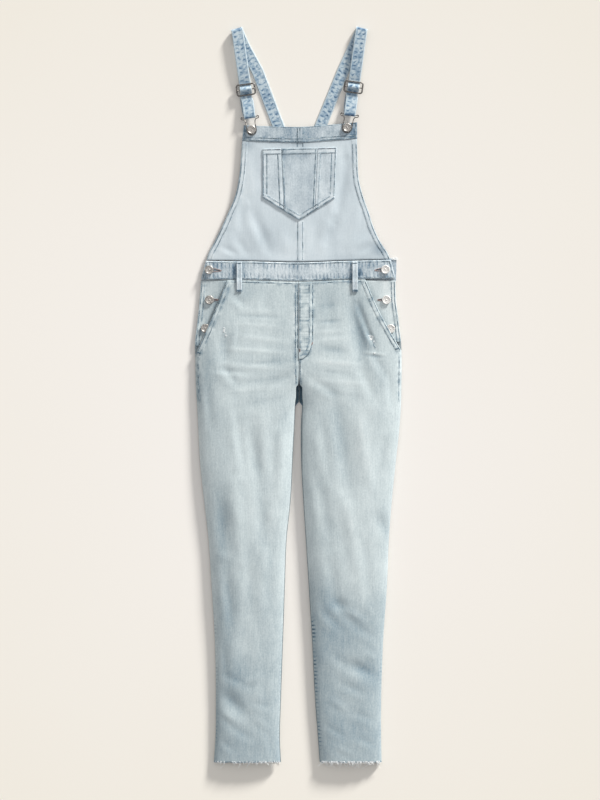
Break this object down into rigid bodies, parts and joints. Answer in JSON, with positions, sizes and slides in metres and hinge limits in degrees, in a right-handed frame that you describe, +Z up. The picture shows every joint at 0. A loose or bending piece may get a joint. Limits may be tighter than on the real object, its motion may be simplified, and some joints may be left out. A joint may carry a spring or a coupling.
{
  "type": "denim dungarees",
  "caption": "Light-wash denim dungarees laid flat, front up: straps with slide adjusters and hooks on a bib with a pointed pocket, side buttons, slant pockets and tapered legs.",
  "frame": {"origin": "under the middle of the laid garment's box, on the surface it lies on", "axes": "+Y from the hems to the shoulders, +X to the wearer's left, +Z up, out of the front"},
  "size_m": [0.4043, 1.4345, 0.0225],
  "materials": {
    "denim": "light-wash stretch denim, matt twill, faded on thighs and knees",
    "denim_band": "light-wash denim in doubled bands, bluer and puckered along the seams",
    "denim_pocket": "light-wash denim, slightly greyer than the bib",
    "denim_strap": "folded denim strap, mottled blue on pale, pale edges",
    "nickel_wire": "nickel-plated bent steel wire, worn satin",
    "nickel_button": "nickel-plated pressed steel button, plain, satin"
  },
  "bodies": {
    "root": {"leg_front_r": "denim", "leg_front_l": "denim", "leg_back_r": "denim", "leg_back_l": "denim", "hip_facing_r": "denim", "hip_facing_l": "denim", "side_placket_r": "denim", "side_placket_l": "denim", "fly_placket": "denim_band", "waistband_front": "denim_band", "waistband_back": "denim_band", "bib_front": "denim", "bib_band": "denim_band", "bib_back": "denim", "pocket_side_r": "denim_pocket", "pocket_centre": "denim_pocket", "pocket_side_l": "denim_pocket", "belt_loop_r": "denim_band", "belt_loop_l": "denim_band", "strap_r": "denim_strap", "strap_l": "denim_strap", "slider_r": "nickel_wire", "slider_l": "nickel_wire", "hook_r": "nickel_wire", "hook_l": "nickel_wire", "side_button_r_1": "nickel_button", "side_button_r_2": "nickel_button", "side_button_r_3": "nickel_button", "bib_button_r": "nickel_button", "side_button_l_1": "nickel_button", "side_button_l_2": "nickel_button", "side_button_l_3": "nickel_button", "bib_button_l": "nickel_button"}
  },
  "joints": []
}
